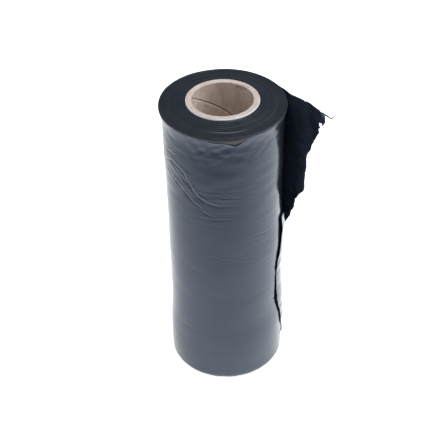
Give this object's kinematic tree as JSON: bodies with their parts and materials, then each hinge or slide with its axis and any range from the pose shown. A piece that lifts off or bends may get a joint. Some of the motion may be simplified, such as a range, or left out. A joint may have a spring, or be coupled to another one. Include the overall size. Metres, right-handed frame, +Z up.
{
  "type": "stretch wrap roll",
  "caption": "Upright part-used roll of glossy black stretch film wound on a spiral cardboard core, its loose end torn and standing away from the side.",
  "frame": {"origin": "centre of the core's lower end face, where the roll stands", "axes": "+Z up along the core's axis; the torn free end leaves the roll at the back right (+X +Y) and points towards +X -Y"},
  "size_m": [0.2148, 0.1592, 0.41],
  "materials": {
    "core_board": "matte unbleached tube board, paler on the outer ply",
    "black_film": "glossy black polyethylene film, wound tight, wrinkled and rippled"
  },
  "bodies": {
    "root": {"core_tube": "core_board", "film_roll": "black_film"}
  },
  "joints": []
}
